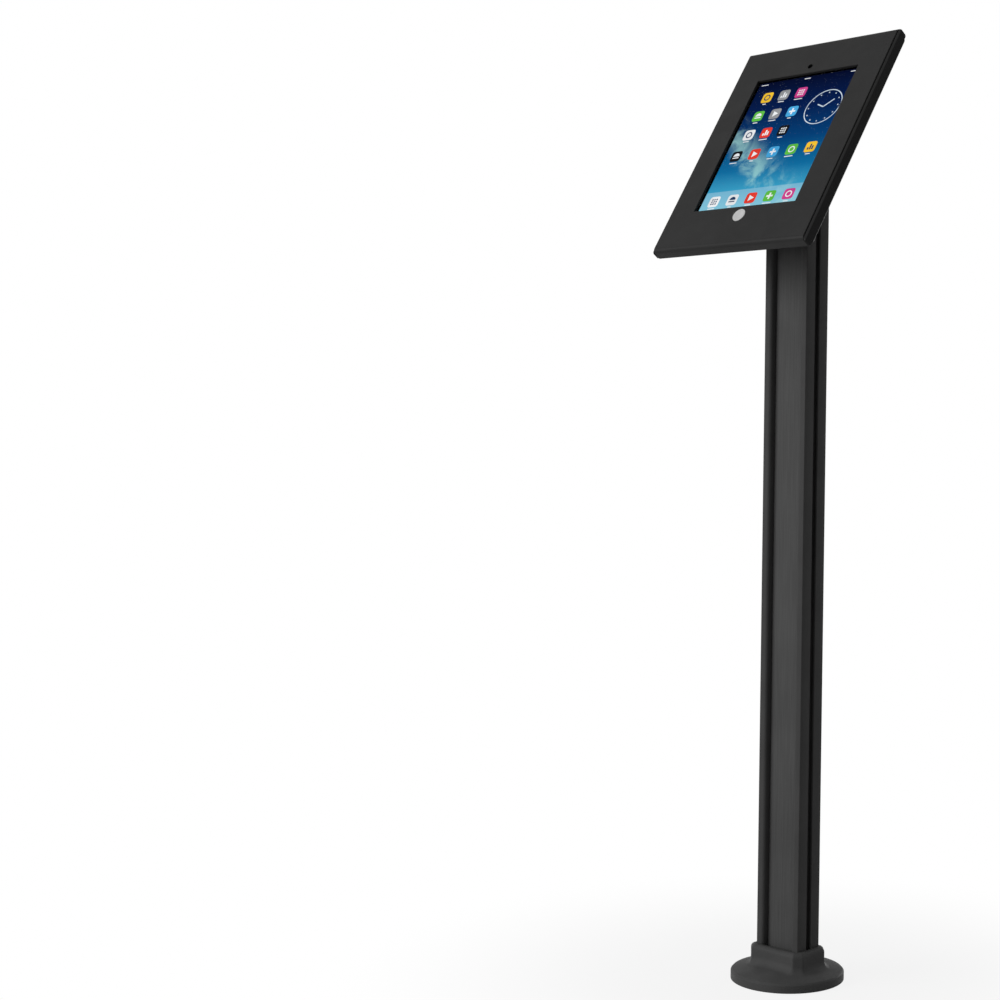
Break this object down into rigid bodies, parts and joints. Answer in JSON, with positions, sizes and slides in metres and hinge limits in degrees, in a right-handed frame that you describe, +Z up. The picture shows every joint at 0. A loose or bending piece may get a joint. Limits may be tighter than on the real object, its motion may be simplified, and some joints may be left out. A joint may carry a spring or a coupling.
{
  "type": "tablet mount",
  "caption": "Floor-standing tablet mount: lockable steel enclosure with a screen window and home button, leaning on a slotted post with a bolt-down foot and moulded cover",
  "frame": {"origin": "on the floor, on the post's axis, at the centre of the anchor circle", "axes": "+Z up, the screen faces -Y and leans back, +X to the right of someone who looks at the screen"},
  "size_m": [0.2276, 0.1901, 1.0984],
  "materials": {
    "black_steel": "fine-grained satin powder coat",
    "black_aluminium": "satin powder coat",
    "black_plastic": "fine moulded grain",
    "strip_plastic": "satin, extruded",
    "steel": "zinc plated",
    "black_screw": "black oxide",
    "lock_chrome": "polished",
    "light_plastic": "satin light grey",
    "rubber": "matt",
    "foam": "closed-cell foam",
    "tablet_metal": "bead blasted",
    "tablet_glass": "polished, black border",
    "screen": "lit display",
    "lens": "polished"
  },
  "bodies": {
    "stand": {"rear_tray": "black_steel", "tray_sides": "black_steel", "hinge_pins": "steel", "lock_housing": "lock_chrome", "lock_nut": "steel", "edge_blocks_side": "rubber", "edge_blocks_top": "rubber", "edge_blocks_bottom": "rubber", "rear_pads": "foam", "cable_grommet": "rubber", "tray_nuts": "steel", "bracket_screws": "black_screw", "tablet_housing": "tablet_metal", "tablet_glass": "tablet_glass", "tablet_display": "screen", "tablet_camera": "lens", "tablet_home_sensor": "lens", "bracket_base": "black_steel", "bracket_cheeks": "black_steel", "bracket_plate": "black_steel", "post_top_screws": "black_screw", "post_extrusion": "black_aluminium", "front_panel": "strip_plastic", "rear_panel": "strip_plastic", "post_bottom_screws": "steel", "floor_flange": "black_steel"},
    "front_cover": {"front_cover": "black_steel", "window_gasket": "foam", "cover_catch": "steel", "button_retainer": "black_plastic", "button_spring": "steel"},
    "home_button": {"home_button": "light_plastic"},
    "lock_cam": {"lock_plug": "lock_chrome", "lock_tongue": "steel", "tongue_screw": "steel"},
    "base_cover": {"base_cover": "black_plastic"}
  },
  "joints": [
    {"name": "cover_hinge", "type": "hinge", "parent": "stand", "child": "front_cover", "pos_m": [0, -0.11042, 0.84302], "axis": [1, 0, 0], "range_deg": [0, 145]},
    {"name": "lock_turn", "type": "hinge", "parent": "stand", "child": "lock_cam", "pos_m": [0, 0.02994, 1.08394], "axis": [0, -0.8387, 0.5446], "range_deg": [0, 90]},
    {"name": "home_button_press", "type": "slide", "parent": "front_cover", "child": "home_button", "axis": [0, 0.8387, -0.5446], "range_m": [0, 0.0009], "stiffness_N_per_m": 300, "deforming": ["button_spring"]},
    {"name": "base_cover_lift", "type": "slide", "parent": "stand", "child": "base_cover", "axis": [0, 0, 1], "range_m": [0, 0.25]}
  ]
}
